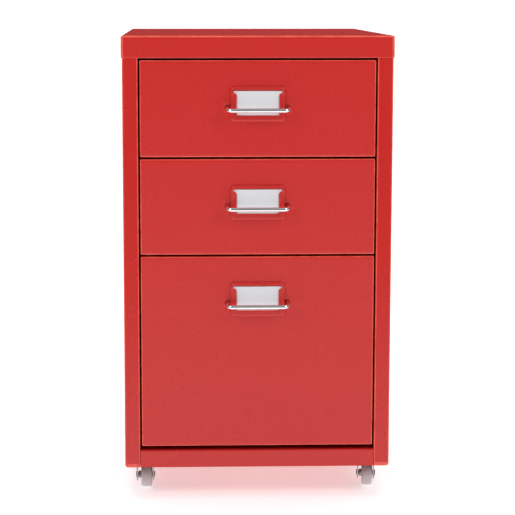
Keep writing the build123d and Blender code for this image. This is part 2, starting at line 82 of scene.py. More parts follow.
def makePiece(name, sheets, body, slotName, stands, sharpAngle=45, rimShare=1.0):
    # joins the sheets in one mesh, merges their seams and poles, and turns every face outwards
    points = np.concatenate([p for p, q in sheets])
    starts = np.cumsum([0] + [len(p) for p, q in sheets[:-1]])
    quads = np.concatenate([q + s for (p, q), s in zip(sheets, starts)])
    mesh = bpy.data.meshes.new(name)
    mesh.from_pydata(points.tolist(), [], quads.tolist())
    work = bmesh.new()
    work.from_mesh(mesh)
    bmesh.ops.remove_doubles(work, verts=work.verts, dist=2e-6)
    bmesh.ops.dissolve_degenerate(work, edges=work.edges, dist=1e-7)
    bmesh.ops.recalc_face_normals(work, faces=work.faces)
    work.normal_update()
    # roundness for each vertex, scaled by rimShare: the materials paint highlights on outer roundings and shade in
    # inner ones from it
    rim = [rimShare * roundness(vertex) for vertex in work.verts]
    work.to_mesh(mesh)
    work.free()
    mesh.attributes.new("rim", "FLOAT", "POINT").data.foreach_set("value", rim)
    mesh.shade_smooth()
    mesh.set_sharp_from_angle(angle=math.radians(sharpAngle))
    piece = bpy.data.objects.new(name, mesh)
    bpy.context.scene.collection.objects.link(piece)
    mesh.materials.append(slotMaterials[slotName])
    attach(piece, body)
    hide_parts(*stands)
    return piece


def arcPoints(centre, radius, start, end, count):
    # a round stretch of a section, from angle start to angle end, in degrees
    t = np.radians(np.linspace(start, end, count))
    return np.stack([centre[0] + radius * np.cos(t), centre[1] + radius * np.sin(t)], 1)


def spread(start, end, count):
    # points on a straight line from start to end, without the first one
    return np.linspace(start, end, count + 1)[1:]


def roundedPath(points, radii, arcSteps):
    # straight runs joined by tangent arcs: each corner's arc starts and ends at radius times the
    # tangent of half the turn from the corner, and is the circle that touches both runs there
    points = np.asarray(points, float)
    out = [points[:1]]
    for before, corner, after, radius in zip(points[:-2], points[1:-1], points[2:], radii):
        a = (before - corner) / np.linalg.norm(before - corner)
        b = (after - corner) / np.linalg.norm(after - corner)
        turn = math.pi - math.acos(np.clip(a @ b, -1, 1))
        reach = radius * math.tan(turn / 2)
        middle = (a + b) / np.linalg.norm(a + b)
        centre = corner + middle * math.hypot(radius, reach)
        start = corner + a * reach - centre
        across = corner + b * reach - centre
        side = across - start * (across @ start) / (start @ start)
        side = side / np.linalg.norm(side) * radius
        t = np.linspace(0, turn, arcSteps)[:, None]
        out.append(centre + start * np.cos(t) + side * np.sin(t))
    out.append(points[-1:])
    return np.concatenate(out)


def tubeSheet(path, section, upright):
    # a closed section carried along a path: each point is the path's point plus the section's two
    # coordinates along the two directions square to the path; the ends close to a point
    ahead = np.gradient(path, axis=0)
    ahead /= np.linalg.norm(ahead, axis=1)[:, None]
    side = np.cross(ahead, np.asarray(upright, float))
    side /= np.linalg.norm(side, axis=1)[:, None]
    up = np.cross(side, ahead)
    ring = path[:, None] + side[:, None] * section[None, :, :1] + up[:, None] * section[None, :, 1:]
    first = np.repeat(path[:1, None], ring.shape[1], 1)
    last = np.repeat(path[-1:, None], ring.shape[1], 1)
    return gridSheet(np.concatenate([first, ring, last]), closeColumns=True)


def panSheet(centre, half, corner, profile, cornerSteps=13):
    # a profile carried round a rounded rectangle: profile gives (inset, height) pairs, and each
    # ring is the rectangle drawn in by the inset, its corners rounder or sharper by as much;
    # the first and last rings close on the middle
    turn = np.radians(np.linspace(0, 90, cornerSteps))
    angles = np.concatenate([turn + quarter * math.pi / 2 for quarter in range(4)])
    signX = np.repeat([1, -1, -1, 1], cornerSteps)
    signY = np.repeat([1, 1, -1, -1], cornerSteps)
    inset, height = np.asarray(profile, float).T[:, :, None]
    radius = np.maximum(corner - inset, 0)
    x = centre[0] + signX * (half[0] - inset - radius) + radius * np.cos(angles)
    y = centre[1] + signY * (half[1] - inset - radius) + radius * np.sin(angles)
    rings = np.stack([x, y, np.broadcast_to(height, x.shape)], 2)
    first = np.broadcast_to([centre[0], centre[1], height[0, 0]], rings[:1].shape)
    last = np.broadcast_to([centre[0], centre[1], height[-1, 0]], rings[:1].shape)
    return gridSheet(np.concatenate([first, rings, last]), closeColumns=True)


def foldSheet(line, fold, thickness, low, high, edge, fine=4 * mm):
    # sheet metal standing up along a folded plan line: a section of the sheet's thickness and full
    # height, with softened edges, carried along the line; fine is the height of the closer rows
    path = roundedPath(line, [fold] * (len(line) - 2), 9)
    path = np.column_stack([path, np.full(len(path), (low + high) / 2)])
    t, h = thickness / 2, (high - low) / 2
    rise = np.linspace(edge * 2, fine, 9)[:, None]
    section = np.concatenate([
        arcPoints((t - edge, h - edge), edge, 0, 90, 4),
        arcPoints((edge - t, h - edge), edge, 90, 180, 4),
        np.hstack([rise * 0 - t, rise[::-1] - h]),
        arcPoints((edge - t, edge - h), edge, 180, 270, 4),
        arcPoints((t - edge, edge - h), edge, 270, 360, 4),
        np.hstack([rise * 0 + t, rise - h]),
    ])
    return tubeSheet(path, section, (0, 0, 1))


def newNode(tree, kind, x, y, **values):
    node = tree.nodes.new(kind)
    node.location = (x, y)
    for key, value in values.items():
        if hasattr(node, key):
            setattr(node, key, value)
        else:
            node.inputs[key].default_value = value
    return node


def newGroup(name, inputs, outputs):
    # a shader node group with named sockets; inputs and outputs give each socket's kind and value
    tree = bpy.data.node_groups.new(name, "ShaderNodeTree")
    for label, kind, value in inputs:
        socket = tree.interface.new_socket(label, in_out="INPUT", socket_type=kind)
        if value is not None:
            socket.default_value = value
    for label, kind in outputs:
        tree.interface.new_socket(label, in_out="OUTPUT", socket_type=kind)
    return tree, newNode(tree, "NodeGroupInput", -900, 0), newNode(tree, "NodeGroupOutput", 700, 0)


def math2(tree, operation, x, y, a, b, clamp=False):
    node = newNode(tree, "ShaderNodeMath", x, y, operation=operation, use_clamp=clamp)
    for socket, value in zip(node.inputs, (a, b)):
        if isinstance(value, (int, float)):
            socket.default_value = value
        else:
            tree.links.new(value, socket)
    return node.outputs[0]


def noise(tree, vector, x, y, size, detail, rough):
    # size is the width of the pattern's lumps, in metres
    node = newNode(tree, "ShaderNodeTexNoise", x, y)
    node.inputs["Detail"].default_value = detail
    node.inputs["Roughness"].default_value = rough
    if isinstance(size, (int, float)):
        node.inputs["Scale"].default_value = 1 / size
    else:
        tree.links.new(math2(tree, "DIVIDE", x - 180, y, 1.0, size), node.inputs["Scale"])
    tree.links.new(vector, node.inputs["Vector"])
    return node.outputs["Fac"]


def remap(tree, value, x, y, low, high, toLow=0.0, toHigh=1.0):
    node = newNode(tree, "ShaderNodeMapRange", x, y)
    for key, number in (("From Min", low), ("From Max", high), ("To Min", toLow), ("To Max", toHigh)):
        node.inputs[key].default_value = number
    tree.links.new(value, node.inputs["Value"])
    return node.outputs["Result"]


def makeCoatSkin():
    # the skin of a baked coating: rounded lumps, a finer grain between them, and slow waves
    tree, given, out = newGroup("coatSkin", [
        ("Vector", "NodeSocketVector", None), ("Lump Size", "NodeSocketFloat", 1.6 * mm),
        ("Grain", "NodeSocketFloat", 0.35), ("Wave", "NodeSocketFloat", 1.0)],
        [("Height", "NodeSocketFloat"), ("Mottle", "NodeSocketFloat")])
    vector = given.outputs["Vector"]
    lumps = noise(tree, vector, -500, 200, given.outputs["Lump Size"], 1.0, 0.4)
    grain = noise(tree, vector, -500, 0, 0.42 * mm, 2.0, 0.6)
    waves = noise(tree, vector, -500, -200, 38 * mm, 1.0, 0.4)
    mottle = noise(tree, vector, -500, -400, 90 * mm, 4.0, 0.6)
    fine = math2(tree, "MULTIPLY", -200, 0, grain, given.outputs["Grain"])
    slow = math2(tree, "MULTIPLY", -200, -200, waves, given.outputs["Wave"])
    both = math2(tree, "ADD", 0, 100, lumps, fine)
    tree.links.new(math2(tree, "ADD", 200, 0, both, slow), out.inputs["Height"])
    tree.links.new(remap(tree, mottle, 0, -400, 0.3, 0.7), out.inputs["Mottle"])
    return tree


def makeEdgeWearAndLight():
    # outer roundings, where the coat is thin and a painted highlight stands in for bright edge lines, broken up by
    # a patchy noise; and inner ones, for painted shade in the folds
    tree, given, out = newGroup("edgeWearAndLightGroup", [
        ("Vector", "NodeSocketVector", None), ("Rim", "NodeSocketFloat", 0.0),
        ("Patch Size", "NodeSocketFloat", 12 * mm)],
        [("Rub And Highlight", "NodeSocketFloat"), ("Fold Shade", "NodeSocketFloat")])
    patch = noise(tree, given.outputs["Vector"], -500, 200, given.outputs["Patch Size"], 5.0, 0.65)
    tree.links.new(remap(tree, given.outputs["Rim"], -300, -300, 0.0, -1.0), out.inputs["Fold Shade"])
    outer = remap(tree, given.outputs["Rim"], -300, -100, 0.0, 0.9)
    broken = remap(tree, patch, -300, 200, 0.35, 0.60, 0.45, 1.0)
    tree.links.new(math2(tree, "MULTIPLY", 0, 0, outer, broken, True), out.inputs["Rub And Highlight"])
    return tree


def makeHandling():
    # dust and the marks of handling: soft smears and a scatter of fine specks
    tree, given, out = newGroup("handling", [
        ("Vector", "NodeSocketVector", None), ("Smear Size", "NodeSocketFloat", 45 * mm),
        ("Speck Size", "NodeSocketFloat", 0.9 * mm)],
        [("Smear", "NodeSocketFloat"), ("Speck", "NodeSocketFloat")])
    smear = noise(tree, given.outputs["Vector"], -500, 200, given.outputs["Smear Size"], 6.0, 0.62)
    speck = noise(tree, given.outputs["Vector"], -500, -100, given.outputs["Speck Size"], 1.0, 0.5)
    tree.links.new(remap(tree, smear, -200, 200, 0.45, 0.72), out.inputs["Smear"])
    tree.links.new(remap(tree, speck, -200, -100, 0.70, 0.78), out.inputs["Speck"])
    return tree


def makeBrushing():
    # rolled or drawn metal: streaks stretched along one direction, and crystal patches
    tree, given, out = newGroup("brushing", [
        ("Vector", "NodeSocketVector", None), ("Stretch", "NodeSocketVector", (1.0, 1.0, 0.05)),
        ("Streak Size", "NodeSocketFloat", 0.35 * mm)],
        [("Streak", "NodeSocketFloat"), ("Patch", "NodeSocketFloat")])
    stretched = newNode(tree, "ShaderNodeVectorMath", -650, 200, operation="MULTIPLY")
    tree.links.new(given.outputs["Vector"], stretched.inputs[0])
    tree.links.new(given.outputs["Stretch"], stretched.inputs[1])
    streak = noise(tree, stretched.outputs[0], -400, 200, given.outputs["Streak Size"], 3.0, 0.6)
    cells = newNode(tree, "ShaderNodeTexVoronoi", -400, -150, Scale=1 / (0.8 * mm))
    tree.links.new(given.outputs["Vector"], cells.inputs["Vector"])
    tree.links.new(remap(tree, streak, 0, 200, 0.3, 0.7), out.inputs["Streak"])
    shade = newNode(tree, "ShaderNodeSeparateColor", -150, -150)
    tree.links.new(cells.outputs["Color"], shade.inputs["Color"])
    tree.links.new(shade.outputs["Red"], out.inputs["Patch"])
    return tree


coatSkin = makeCoatSkin()
edgeWearAndLightGroup = makeEdgeWearAndLight()
handling = makeHandling()
brushing = makeBrushing()
print("shader groups ready")


def startMaterial(name, color, roughness, metallic=0.0):
    material = bpy.data.materials.new(name)
    material.use_nodes = True
    material.diffuse_color = (*color, 1)
    tree = material.node_tree
    tree.nodes.clear()
    shader = newNode(tree, "ShaderNodeBsdfPrincipled", 600, 0)
    out = newNode(tree, "ShaderNodeOutputMaterial", 900, 0)
    tree.links.new(shader.outputs[0], out.inputs[0])
    shader.inputs["Base Color"].default_value = (*color, 1)
    shader.inputs["Roughness"].default_value = roughness
    shader.inputs["Metallic"].default_value = metallic
    where = newNode(tree, "ShaderNodeTexCoord", -1100, 0).outputs["Object"]
    return material, tree, shader, where


def useGroup(tree, group, where, x, y, **values):
    node = newNode(tree, "ShaderNodeGroup", x, y, node_tree=group)
    tree.links.new(where, node.inputs["Vector"])
    if "Rim" in node.inputs:
        rim = newNode(tree, "ShaderNodeAttribute", x - 200, y - 150, attribute_name="rim")
        tree.links.new(rim.outputs["Fac"], node.inputs["Rim"])
    for key, value in values.items():
        node.inputs[key].default_value = value
    return node.outputs


def tint(tree, x, y, factor, colorA, colorB):
    # colorA where factor is 0, colorB where it is 1
    node = newNode(tree, "ShaderNodeMix", x, y, data_type="RGBA")
    tree.links.new(factor, node.inputs["Factor"])
    for socket, color in ((node.inputs[6], colorA), (node.inputs[7], colorB)):
        if isinstance(color, tuple):
            socket.default_value = (*color, 1)
        else:
            tree.links.new(color, socket)
    return node.outputs[2]


def addBump(tree, shader, height, distance):
    node = newNode(tree, "ShaderNodeBump", 350, -400)
    node.inputs["Distance"].default_value = distance
    tree.links.new(height, node.inputs["Height"])
    tree.links.new(node.outputs[0], shader.inputs["Normal"])


enamel = {
    "color": (0.605, 0.0225, 0.0185),
    "deepColor": (0.600, 0.0215, 0.0178),   # where the coat is thicker
    "thinCoatHighlightColor": (0.930, 0.135, 0.080),     # edges: the thin coat, and a painted highlight for bright edge lines
    "foldShadeColor": (0.440, 0.014, 0.012),     # painted shade inside folds
    "roughness": 0.27,
    "smearRoughness": 0.28,
    "lump": 2.2 * mm,
    "relief": 0.0030 * mm,
}


def makeEnamel():
    material, tree, shader, where = startMaterial("redEnamel", enamel["color"], enamel["roughness"])
    skin = useGroup(tree, coatSkin, where, -700, 300, **{"Lump Size": enamel["lump"]})
    edgeWearLight = useGroup(tree, edgeWearAndLightGroup, where, -700, 0)
    marks = useGroup(tree, handling, where, -700, -300)
    coat = tint(tree, -400, 300, skin["Mottle"], enamel["color"], enamel["deepColor"])
    # painted shade: the inner roundings are darkened
    foldShaded = tint(tree, -200, 200, edgeWearLight["Fold Shade"], coat, enamel["foldShadeColor"])
    # painted highlight: outer roundings made lighter and more orange, partly the thin coat on edges
    thinAndHighlit = tint(tree, 0, 100, edgeWearLight["Rub And Highlight"], foldShaded, enamel["thinCoatHighlightColor"])
    tree.links.new(thinAndHighlit, shader.inputs["Base Color"])
    rough = remap(tree, marks["Smear"], -200, -300, 0, 1, enamel["roughness"], enamel["smearRoughness"])
    tree.links.new(rough, shader.inputs["Roughness"])
    addBump(tree, shader, skin["Height"], enamel["relief"])
    return material


plating = {
    "color": (0.86, 0.865, 0.87),
    "roughness": 0.045,
    "smearColor": (0.80, 0.80, 0.81),
    "smearRoughness": 0.13,
    "relief": 0.002 * mm,
}


def makePlating():
    material, tree, shader, where = startMaterial("brightChrome", plating["color"], plating["roughness"], 1.0)
    marks = useGroup(tree, handling, where, -700, -200, **{"Smear Size": 9 * mm})
    skin = useGroup(tree, coatSkin, where, -700, 200, **{"Lump Size": 2.5 * mm, "Grain": 0.1})
    rough = remap(tree, marks["Smear"], -200, -200, 0, 1, plating["roughness"], plating["smearRoughness"])
    tree.links.new(rough, shader.inputs["Roughness"])
    smeared = tint(tree, 0, 100, marks["Smear"], plating["color"], plating["smearColor"])
    tree.links.new(smeared, shader.inputs["Base Color"])
    addBump(tree, shader, skin["Height"], plating["relief"])
    return material


zinc = {
    "color": (0.27, 0.25, 0.25),
    "paleColor": (0.32, 0.30, 0.30),
    # painted shade inside folds
    "foldShadeColor": (0.10, 0.09, 0.09),
    "roughness": 0.14,
    "dullRoughness": 0.26,
    "relief": 0.010 * mm,
}


def makeZinc():
    material, tree, shader, where = startMaterial("zincSteel", zinc["color"], zinc["roughness"], 1.0)
    drawn = useGroup(tree, brushing, where, -700, 200)
    edgeWearLight = useGroup(tree, edgeWearAndLightGroup, where, -700, -100)
    pale = tint(tree, -300, 200, drawn["Patch"], zinc["color"], zinc["paleColor"])
    # painted shade: the inner roundings are darkened
    foldShaded = tint(tree, -100, 100, edgeWearLight["Fold Shade"], pale, zinc["foldShadeColor"])
    tree.links.new(foldShaded, shader.inputs["Base Color"])
    rough = remap(tree, drawn["Streak"], -200, -200, 0, 1, zinc["roughness"], zinc["dullRoughness"])
    tree.links.new(rough, shader.inputs["Roughness"])
    addBump(tree, shader, drawn["Streak"], zinc["relief"])
    return material


plastic = {
    "color": (0.64, 0.570, 0.585),
    "scuffAndShadeColor": (0.56, 0.495, 0.505),
    "roughness": 0.42,
    "relief": 0.02 * mm,
}


def makePlastic(name, values):
    material, tree, shader, where = startMaterial(name, values["color"], values["roughness"])
    skin = useGroup(tree, coatSkin, where, -700, 300, **{"Lump Size": 0.7 * mm, "Grain": 0.8, "Wave": 0.2})
    marks = useGroup(tree, handling, where, -700, -200, **{"Smear Size": 7 * mm})
    edgeWearLight = useGroup(tree, edgeWearAndLightGroup, where, -700, 0)
    scuffed = tint(tree, -200, 200, marks["Smear"], values["color"], values["scuffAndShadeColor"])
    # painted shade: the inner roundings take the darker scuff colour
    foldShaded = tint(tree, 0, 100, edgeWearLight["Fold Shade"], scuffed, values["scuffAndShadeColor"])
    tree.links.new(foldShaded, shader.inputs["Base Color"])
    smooth, dull = values["roughness"] - 0.05, values["roughness"] + 0.1
    rough = remap(tree, skin["Mottle"], -200, -300, 0, 1, smooth, dull)
    tree.links.new(rough, shader.inputs["Roughness"])
    addBump(tree, shader, skin["Height"], values["relief"])
    return material


nylon = {
    "color": (0.78, 0.76, 0.70),
    "scuffAndShadeColor": (0.62, 0.60, 0.55),
    "roughness": 0.4,
    "relief": 0.01 * mm,
}
rubber = {
    "color": (0.028, 0.027, 0.027),
    "scuffAndShadeColor": (0.06, 0.058, 0.056),
    "roughness": 0.7,
    "relief": 0.03 * mm,
}
paper = {
    "color": (0.80, 0.815, 0.84),
    "fibreColor": (0.74, 0.755, 0.785),
    "roughness": 0.72,
    "relief": 0.012 * mm,
}


def makePaper():
    material, tree, shader, where = startMaterial("cardPaper", paper["color"], paper["roughness"])
    fibres = useGroup(tree, brushing, where, -700, 100,
                      **{"Stretch": (0.25, 1.0, 1.0), "Streak Size": 0.25 * mm})
    fibred = tint(tree, 0, 100, fibres["Streak"], paper["color"], paper["fibreColor"])
    tree.links.new(fibred, shader.inputs["Base Color"])
    addBump(tree, shader, fibres["Streak"], paper["relief"])
    return material


slotMaterials = {
    "red_enamel": makeEnamel(),
    "bright_chrome": makePlating(),
    "zinc_steel": makeZinc(),
    "grey_plastic": makePlastic("wheelPlastic", plastic),
    "white_nylon": makePlastic("glideNylon", nylon),
    "black_rubber": makePlastic("bumperRubber", rubber),
    "white_paper": makePaper(),
}
print("materials ready:", ", ".join(slotMaterials))


sheet = {
    "thickness": 0.8 * mm,
    "fold": 0.9 * mm,          # radius of the middle line
    "edge": 0.22 * mm,
}
lid = {
    "corner": 2.6 * mm,
    "edge": 1.7 * mm,
    "hemDepth": 12.0 * mm,
    "hemGap": 0.6 * mm,
    "support": 1.5 * mm,
}


def makeLid():
    # section of the folded top: underside, inner wall, lower edge, outer wall, upper fold, top
    low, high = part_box("top_panel")
    t, edge = sheet["thickness"], sheet["edge"]
    inner = lid["edge"] - t
    s = lid["support"]
    profile = np.concatenate([
        [(t + inner + s, high.z - t)],
        arcPoints((t + inner, high.z - t - inner), inner, 90, 180, 5),
        [(t, high.z - lid["edge"] - s), (t, low.z + edge + s)],
        arcPoints((t - edge, low.z + edge), edge, 0, -90, 4),
        arcPoints((edge, low.z + edge), edge, -90, -180, 4),
        [(0, low.z + edge + s), (0, high.z - lid["edge"] - s)],
        arcPoints((lid["edge"], high.z - lid["edge"]), lid["edge"], 180, 90, 9),
        [(lid["edge"] + s, high.z)],
    ])
    centre = ((low.x + high.x) / 2, (low.y + high.y) / 2)
    half = ((high.x - low.x) / 2, (high.y - low.y) / 2)
    shell = panSheet(centre, half, lid["corner"], profile)
    reach = -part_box("side_panel_left")[1].x - lid["hemGap"]
    # the hem: the skirt's front edge turned back under the top
    start, end = low.y + t - edge, low.y + lid["hemDepth"]
    path = np.stack([np.linspace(start, end, 8), np.full(8, low.z + t / 2)], 1)
    hem = stripSheet(path, t, -reach, reach)
    makePiece("topPanel", [shell, hem], "cabinet", "red_enamel", ["top_panel"])


def stripSheet(path, thickness, left, right):
    # a folded strip along X: the fold's line is given in Y and Z
    turned = np.column_stack([np.zeros(len(path)), path])
    edge = thickness * 0.3
    t, h = thickness / 2, (right - left) / 2
    section = np.concatenate([
        arcPoints((h - edge, t - edge), edge, 0, 90, 4),
        arcPoints((edge - h, t - edge), edge, 90, 180, 4),
        arcPoints((edge - h, edge - t), edge, 180, 270, 4),
        arcPoints((h - edge, edge - t), edge, 270, 360, 4),
    ])
    ahead = np.gradient(turned, axis=0)
    ahead /= np.linalg.norm(ahead, axis=1)[:, None]
    side = np.array([1.0, 0, 0])
    up = np.cross(side, ahead)
    ring = turned[:, None] + side * section[None, :, :1] + up[:, None] * section[None, :, 1:]
    ring = ring + side * (left + right) / 2
    first = np.repeat(ring[:1].mean(1, keepdims=True), ring.shape[1], 1)
    last = np.repeat(ring[-1:].mean(1, keepdims=True), ring.shape[1], 1)
    return gridSheet(np.concatenate([first, ring, last]), closeColumns=True)


post = {
    "width": 16.0 * mm,
    "lip": 14.0 * mm,
    "rearFlange": 15.0 * mm,
    "topFlange": 12.0 * mm,
    "topDrop": 1.7 * mm,
    "curl": 2.6 * mm,          # radius of the lower edge
}


def makeSide(side):
    # post lip, post, side and rear flange as one folded sheet, and the flange under the top
    name = "side_panel_left" if side < 0 else "side_panel_right"
    low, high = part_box(name)
    t = sheet["thickness"]
    outer = abs(low.x) if side < 0 else abs(high.x)
    inner = outer - post["width"]
    frontY, backY = low.y + t / 2, high.y - t / 2
    line = [(inner + t / 2, low.y + post["lip"]), (inner + t / 2, frontY), (outer - t / 2, frontY),
            (outer - t / 2, backY), (outer - post["rearFlange"], backY)]
    line = np.array(line) * (side, 1)
    wall = foldSheet(line, sheet["fold"], t, low.z, high.z - post["topDrop"], sheet["edge"])
    # the lower edge curls in: the sheet moves inwards by how far a circle falls away at its height
    r = post["curl"]
    points = wall[0]
    climb = np.clip(points[:, 2] - low.z, 0, r)
    share = np.clip((abs(points[:, 0]) - outer + 2 * r) / r, 0, 1)
    points[:, 0] -= np.sign(points[:, 0]) * share * (r - np.sqrt(r ** 2 - (r - climb) ** 2))
    flange = [(outer - t / 2, high.z - 3 * t), (outer - t / 2, high.z - t / 2),
              (outer - post["topFlange"], high.z - t / 2)]
    path = roundedPath(flange, [sheet["fold"]], 8)
    strip = stripSheet(path, t, low.y + post["lip"], backY - post["lip"])
    turned = strip[0][:, [1, 0, 2]] * (side, 1, 1)
    makePiece("sidePanel" + ("Left" if side < 0 else "Right"), [wall, (turned, strip[1])], "cabinet",
              "red_enamel", [name])


makeLid()
makeSide(-1)
makeSide(1)
print("shell ready")


front = {
    "thickness": 0.8 * mm,
    "edge": 1.1 * mm,          # radius of the fold round the face
    "lip": 14.0 * mm,
    "support": 1.5 * mm,       # flat stretch beside the fold
    "cornerSteps": 6,
    "fineStep": 0.5 * mm,      # between the grid's lines, near the holes and elsewhere
    "wideStep": 3.0 * mm,
    "hole": 2.6 * mm,          # radius, where the handle goes through
    "holeRing": 3.0 * mm,      # half width of the square of grid lines that becomes the hole's edge
    "holePatch": 6.5 * mm,     # half width of the patch of grid drawn in to the hole
    "dimple": 0.15 * mm,       # how deep the metal is drawn in round a hole
    "dimpleWidth": 1.6 * mm,
    "waviness": 0.10 * mm,     # sheet metal is never quite flat
    "calmBorder": 20 * mm,     # width over which the waves die out towards the folds
}


def frontLines(half, centres):
    # grid lines from -half to half: fine ones across each hole's patch, wider ones between
    patch = front["holePatch"]
    stops = [-half] + sorted(c + side for c in centres for side in (-patch, patch)) + [half]
    out = []
    for k, (a, b) in enumerate(zip(stops[:-1], stops[1:])):
        step = front["fineStep"] if k % 2 == 1 else front["wideStep"]
        out.append(np.linspace(a, b, max(2, round((b - a) / step) + 1))[:-1])
    return np.concatenate(out + [[half]])


def makeFront(name, seed):
    low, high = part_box(name + "_front")
    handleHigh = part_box(name + "_handle")[1]
    r, t = front["edge"], front["thickness"]
    wire = handle["wire"] / 2
    legX = handleHigh.x - wire
    holeZ = handleHigh.z - wire
    patch = front["holePatch"]
    halfX, halfZ = (high.x - low.x) / 2 - r, (high.z - low.z) / 2 - r
    midX, midZ = (low.x + high.x) / 2, (low.z + high.z) / 2
    x = frontLines(halfX, [-legX, legX])
    z = frontLines(halfZ, [holeZ - midZ])
    gx, gz = np.meshgrid(x, z, indexing="ij")
    # near each hole the grid's square rings turn into circles, the innermost one the hole's edge
    depth = np.zeros_like(gx)
    keep = np.ones((len(x) - 1, len(z) - 1), bool)
    for c in (-legX, legX):
        dx, dz = gx - c, gz - (holeZ - midZ)
        ring = np.maximum(np.maximum(abs(dx), abs(dz)), 1e-9)
        inPatch = ring < patch - 1e-7
        length = np.maximum(np.hypot(dx, dz), 1e-9)
        blend = np.clip((ring - front["holeRing"]) / (patch - front["holeRing"]), 0, 1)
        reach = front["hole"] + (patch - front["hole"]) * blend
        scale = (1 - blend) * reach / length + blend
        gx = np.where(inPatch, c + dx * scale, gx)
        gz = np.where(inPatch, holeZ - midZ + dz * scale, gz)
        away = np.hypot(gx - c, gz - (holeZ - midZ)) - front["hole"]
        bowl = front["dimple"] * np.exp(-np.clip(away, 0, None) ** 2 / front["dimpleWidth"] ** 2)
        depth += bowl
        middle = (ring[:-1, :-1] + ring[1:, 1:] + ring[1:, :-1] + ring[:-1, 1:]) / 4
        keep &= middle > front["holeRing"]
    # the sheet's slow waves, no deeper than waviness, and none at the folded border
    border = front["calmBorder"]
    calm = np.clip((halfX - abs(gx)) / border, 0, 1) * np.clip((halfZ - abs(gz)) / border, 0, 1)
    broad = np.cos(gx * 31 + seed) * np.cos(gz * 37 + 2 * seed)
    waves = broad + 0.6 * np.cos(gx * 57 - seed) * np.cos(gz * 23 + seed)
    depth += front["waviness"] * calm * (waves / 3.2 + 0.5)
    face = np.stack([midX + gx, low.y + depth, midZ + gz], 2)
    points, quads = gridSheet(face)
    faceSheet = (points, quads[keep.ravel()])
    # the border: the face's edge points, each carried through the fold, the side and the lip
    sides = [(np.stack([x, x * 0 + halfZ], 1), (0, 1)), (np.stack([z * 0 + halfX, z[::-1]], 1), (1, 0)),
             (np.stack([x[::-1], x * 0 - halfZ], 1), (0, -1)), (np.stack([z * 0 - halfX, z], 1), (-1, 0))]
    turn = np.linspace(0, math.pi / 2, front["cornerSteps"])[1:-1, None]
    base, outward = [], []
    for (points, ahead), (_, nextAhead) in zip(sides, sides[1:] + sides[:1]):
        base += [points, np.repeat(points[-1:], len(turn), 0)]
        outward += [np.tile(ahead, (len(points), 1)),
                    np.cos(turn) * np.array(ahead) + np.sin(turn) * np.array(nextAhead)]
    base, outward = np.concatenate(base), np.concatenate(outward)
    back = high.y - low.y
    section = np.concatenate([
        [(0, 0)], arcPoints((0, r), r, -90, 0, 7)[1:], [(r, r + front["support"]), (r, back - 3 * t)],
        arcPoints((r - t, back - t), t, 0, 90, 5), [(r - front["lip"], back)]])
    # the fold follows the round corners; the lip is drawn in square, so its corners are sharp
    out, deep = section[:, :1], section[:, 1:]
    limit = np.where(out < 0, out, r)
    px = np.clip(base[:, 0] + outward[:, 0] * np.maximum(out, 0), -halfX - limit, halfX + limit)
    pz = np.clip(base[:, 1] + outward[:, 1] * np.maximum(out, 0), -halfZ - limit, halfZ + limit)
    rim = np.stack([midX + px, low.y + np.broadcast_to(deep, px.shape), midZ + pz], 2)
    borderSheet = gridSheet(rim, closeColumns=True)
    piece = makePiece(name + "Front", [faceSheet, borderSheet], name + "_drawer", "red_enamel",
                      [name + "_front"])
    wall = piece.modifiers.new("wall", "SOLIDIFY")
    wall.thickness = t
    wall.offset = -1
    wall.use_even_offset = True


handle = {
    "wire": 4.8 * mm,
    "bend": 5.0 * mm,
    "knee": 5.0 * mm,
    "kneeStart": 3.5 * mm,     # in front of the drawer front
    "endGap": 0.3 * mm,        # the legs' ends stop short of the nuts' end
    "sides": 28,
}


def makeHandle(name):
    # a bar, two bends, two legs that rise to the front and pass through it
    low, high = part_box(name + "_handle")
    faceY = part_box(name + "_front")[0].y
    r = handle["wire"] / 2
    legX, barY, barZ, holeZ = high.x - r, low.y + r, low.z + r, high.z - r
    knee = faceY - handle["kneeStart"]
    end = high.y - handle["endGap"]
    line = [(-legX, end, holeZ), (-legX, knee, holeZ), (-legX, barY, barZ),
            (legX, barY, barZ), (legX, knee, holeZ), (legX, end, holeZ)]
    path = roundedPath(line, [handle["knee"], handle["bend"], handle["bend"], handle["knee"]], 14)
    t = np.linspace(0, 2 * math.pi, handle["sides"], endpoint=False)
    section = r * np.stack([np.cos(t), np.sin(t)], 1)
    wire = tubeSheet(path, section, (0, 0, 1))
    makePiece(name + "Handle", [wire], name + "_drawer", "bright_chrome", [name + "_handle"])


holder = {
    "corner": 4.5 * mm,
    "slope": 2.5 * mm,         # width of the soft outer slope
    "topSlope": 0.5 * mm,      # width of the rounded upper edge of the window
    "innerEdge": 0.5 * mm,
    "shoulder": 3.0 * mm,
    "sideBand": 6.75 * mm,
    "bottomBand": 6.9 * mm,
    "cardLevel": 0.10 * mm,    # height of the window's upper edge over the face
    "topGap": 0.9 * mm,        # from the card up to the window's edge, where the front shows
    "overlap": 0.5 * mm,       # how far the holder covers the card's edges
}


